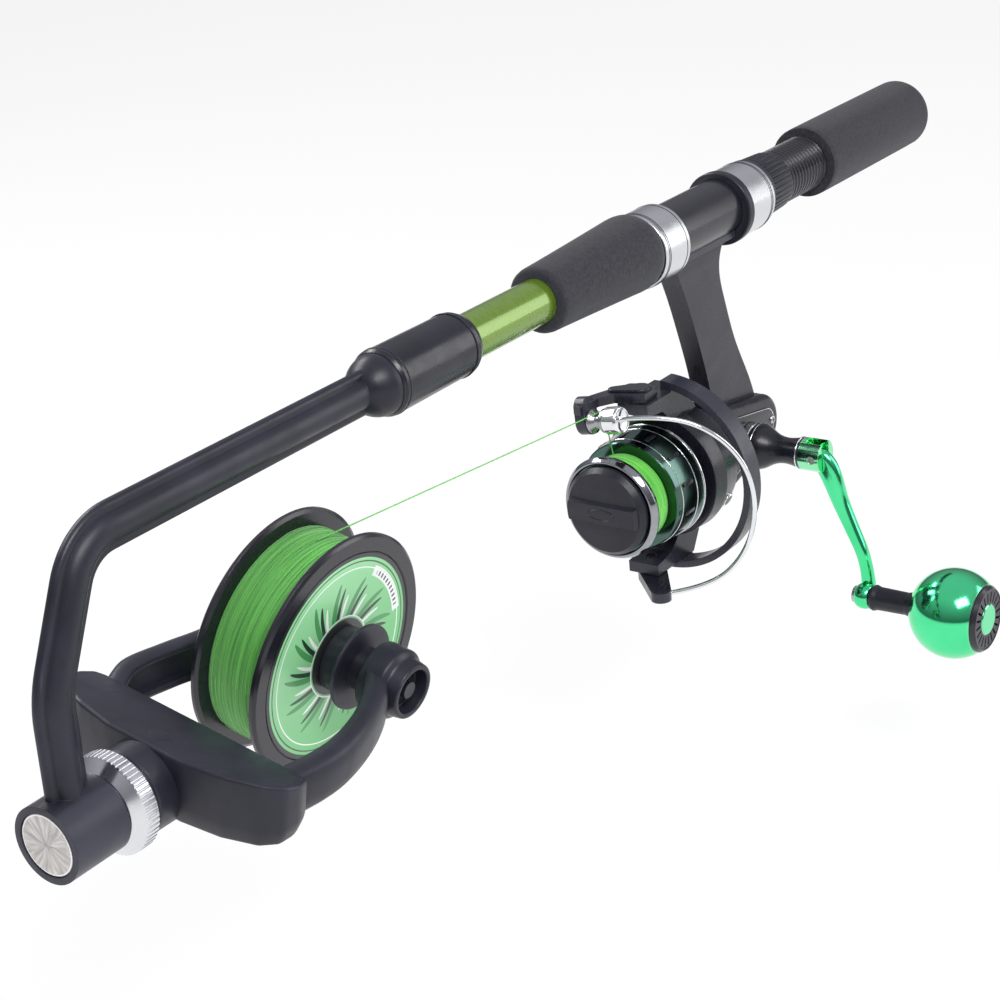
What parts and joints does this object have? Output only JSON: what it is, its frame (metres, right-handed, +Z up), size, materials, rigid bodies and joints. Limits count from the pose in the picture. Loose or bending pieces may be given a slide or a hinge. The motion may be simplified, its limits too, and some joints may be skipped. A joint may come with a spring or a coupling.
{
  "type": "fishing line winder",
  "caption": "Hand-held line winder: a rod handle with a spinning reel and crank, and a bent arm whose swivelling yoke carries a supply spool of braided line.",
  "frame": {"origin": "on the handle's axis, at the middle of the rear grip", "axes": "+X along the handle to its butt, +Z up with the reel hanging below, so the crank is on the -Y side"},
  "size_m": [0.5791, 0.1679, 0.1977],
  "materials": {
    "green_tube": "metallic gloss",
    "eva_foam": "matte foam",
    "black_gloss": "gloss",
    "black_satin": "satin",
    "black_paint": "satin paint",
    "satin_aluminium": "satin",
    "bright_chrome": "mirror",
    "dark_chrome": "dark mirror",
    "steel": "machined",
    "brass": "machined",
    "green_anodised": "mirror anodised",
    "paper_label": "gloss print",
    "green_line": "braided fibre"
  },
  "bodies": {
    "handle": {"rod_tube": "green_tube", "rear_grip": "eva_foam", "front_grip": "eva_foam", "reel_seat": "black_gloss", "front_hood": "satin_aluminium", "arm_sleeve": "black_gloss", "winder_arm": "black_satin", "boss_cap": "bright_chrome", "swivel_bolt": "steel", "bolt_nut": "steel", "reel_housing": "black_paint", "side_cover": "black_paint", "cover_screws": "steel", "tail_guard": "black_satin", "pinion_bearing": "steel", "crank_bearings": "steel", "crank_collar": "satin_aluminium", "fishing_line": "green_line"},
    "hood": {"rear_hood": "satin_aluminium", "hood_liner": "black_satin"},
    "nut": {"lock_nut": "black_satin"},
    "clamp_knob": {"swivel_knob": "satin_aluminium"},
    "yoke": {"yoke_bar": "black_satin", "yoke_arm_near": "black_satin", "yoke_arm_far": "black_satin", "far_centre": "black_satin"},
    "plunger": {"hub_plunger": "black_satin"},
    "supply": {"supply_spool": "black_gloss", "spool_labels": "paper_label", "supply_winding": "green_line"},
    "crank": {"crank_stem": "black_paint", "drive_gear": "brass", "crank_fork": "green_anodised", "fold_pin": "steel"},
    "arm": {"crank_arm": "green_anodised", "knob_spindle": "steel"},
    "knob": {"knob_neck": "black_satin", "knob_ball": "green_anodised", "knob_ring": "black_gloss", "vent_cap": "black_satin", "knob_badge": "green_anodised"},
    "rotor": {"rotor": "black_paint", "pinion_gear": "brass", "rotor_nut": "steel"},
    "bail": {"bail_arm": "black_paint", "bail_cover": "bright_chrome", "bail_holder": "black_paint", "guide_dome": "bright_chrome", "bail_wire": "bright_chrome"},
    "roller": {"line_roller": "dark_chrome"},
    "shaft": {"main_shaft": "steel", "spool_slider": "brass"},
    "spool": {"reel_spool": "dark_chrome", "spool_lip": "dark_chrome", "reel_winding": "green_line"},
    "drag": {"drag_knob": "black_satin"}
  },
  "joints": [
    {"name": "nut_turn", "type": "hinge", "parent": "hood", "child": "nut", "pos_m": [-0.0918, 0, 0], "axis": [1, 0, 0], "range_deg": [0, 2520]},
    {"name": "hood_slide", "type": "slide", "parent": "handle", "child": "hood", "axis": [1, 0, 0], "range_m": [0, 0.01821]},
    {"name": "clamp_knob_turn", "type": "hinge", "parent": "handle", "child": "clamp_knob", "pos_m": [-0.502, 0, -0.0861], "axis": [1, 0, 0], "range_deg": [0, 360]},
    {"name": "yoke_swivel", "type": "hinge", "parent": "handle", "child": "yoke", "pos_m": [-0.47, 0, -0.0861], "axis": [1, 0, 0], "range_deg": [-102, 78], "deforming": ["fishing_line"]},
    {"name": "plunger_slide", "type": "slide", "parent": "yoke", "child": "plunger", "axis": [0, -0.9776, -0.2105], "range_m": [0, 0.0055], "stiffness_N_per_m": 400, "springref_m": -0.006},
    {"name": "supply_spin", "type": "hinge", "parent": "yoke", "child": "supply", "pos_m": [-0.391, 0, -0.0861], "axis": [0, 0.9776, 0.2105], "continuous": true},
    {"name": "crank_turn", "type": "hinge", "parent": "handle", "child": "crank", "pos_m": [-0.125, 0, -0.1038], "axis": [0, 1, 0], "continuous": true},
    {"name": "rotor_spin", "type": "hinge", "parent": "handle", "child": "rotor", "pos_m": [-0.17, 0, -0.0985], "axis": [1, 0, 0], "continuous": true, "deforming": ["fishing_line"]},
    {"name": "crank_fold", "type": "hinge", "parent": "crank", "child": "arm", "pos_m": [-0.125, -0.043, -0.1038], "axis": [1, 0, 0], "range_deg": [-85, 0]},
    {"name": "knob_spin", "type": "hinge", "parent": "arm", "child": "knob", "pos_m": [-0.129, -0.106, -0.163], "axis": [0, 1, 0], "continuous": true},
    {"name": "bail_flip", "type": "hinge", "parent": "rotor", "child": "bail", "pos_m": [-0.192, 0, -0.0985], "axis": [0, 0, 1], "range_deg": [-100, 0], "deforming": ["fishing_line"]},
    {"name": "roller_spin", "type": "hinge", "parent": "bail", "child": "roller", "pos_m": [-0.213, 0.006, -0.064], "axis": [0, 0.9852, -0.1713], "continuous": true},
    {"name": "spool_stroke", "type": "slide", "parent": "handle", "child": "shaft", "axis": [1, 0, 0], "range_m": [-0.005, 0.0045], "deforming": ["fishing_line"]},
    {"name": "drag_slip", "type": "hinge", "parent": "shaft", "child": "spool", "pos_m": [-0.205, 0, -0.0985], "axis": [1, 0, 0], "continuous": true},
    {"name": "drag_knob_turn", "type": "hinge", "parent": "shaft", "child": "drag", "pos_m": [-0.223, 0, -0.0985], "axis": [1, 0, 0], "range_deg": [0, 720]}
  ],
  "couplings": [
    {"joint": "hood_slide", "follows": "nut_turn", "m_per_rad": 0.0004138},
    {"joint": "rotor_spin", "follows": "crank_turn", "ratio": 5.2}
  ]
}
